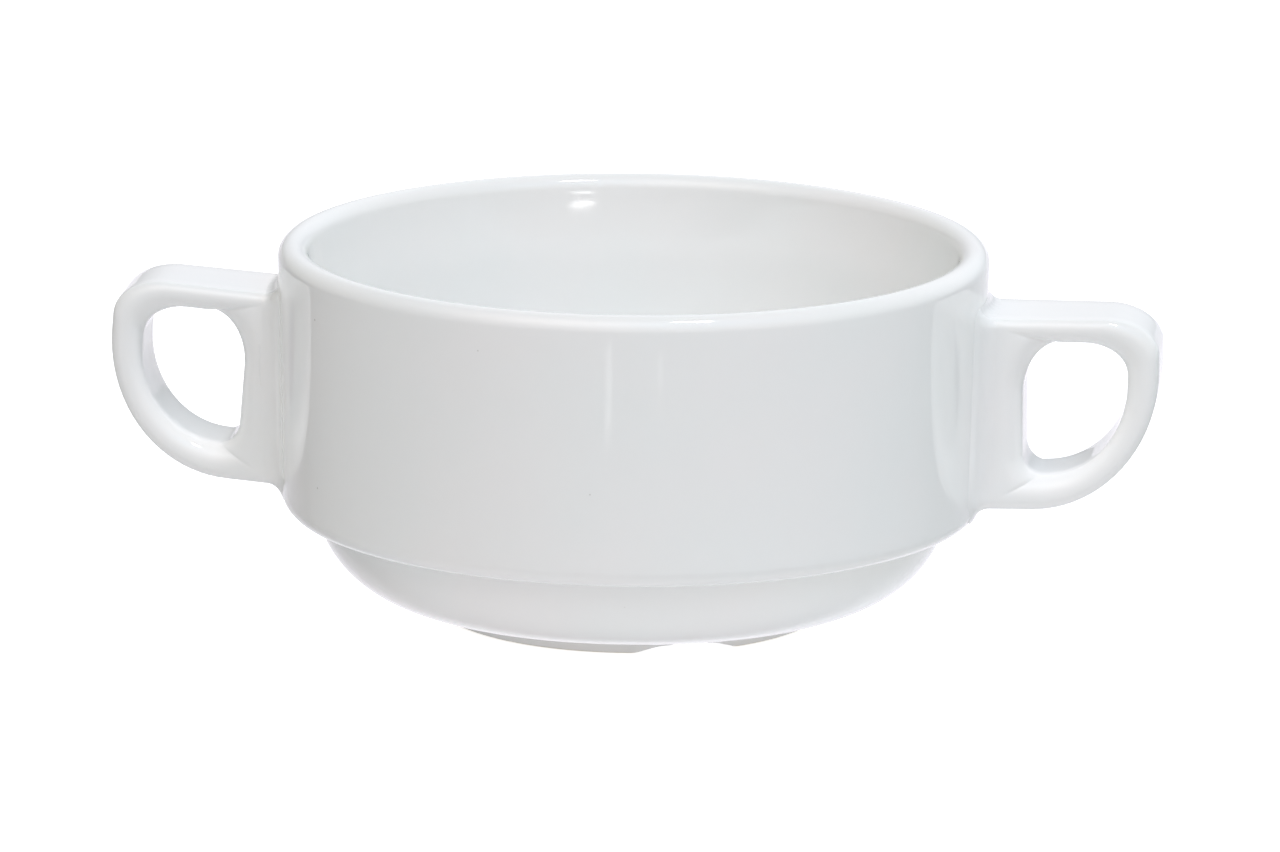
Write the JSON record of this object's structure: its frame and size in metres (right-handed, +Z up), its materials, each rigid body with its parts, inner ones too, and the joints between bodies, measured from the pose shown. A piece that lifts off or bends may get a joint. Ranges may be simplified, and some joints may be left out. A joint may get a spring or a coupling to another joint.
{
  "type": "lug soup bowl",
  "caption": "Round stacking soup cup with a rounded rim, a step that nests in the cup below, a notched foot ring and D-shaped finger lugs on either side.",
  "frame": {"origin": "on the table, on the axis of the bowl", "axes": "+X from the bowl's axis to the middle of the right lug, +Y away from the front of the bowl, +Z up"},
  "size_m": [0.157, 0.106, 0.0558],
  "materials": {
    "glazed_porcelain": "clear glossy glaze over white hotel porcelain, wiped off the foot ring's standing face",
    "glazed_slip": "the same white body fired as a thin layer of slip, under the clear glaze"
  },
  "bodies": {
    "root": {"bowl_body": "glazed_porcelain", "left_lug": "glazed_porcelain", "right_lug": "glazed_porcelain", "left_slip_joint": "glazed_slip", "right_slip_joint": "glazed_slip"}
  },
  "joints": []
}
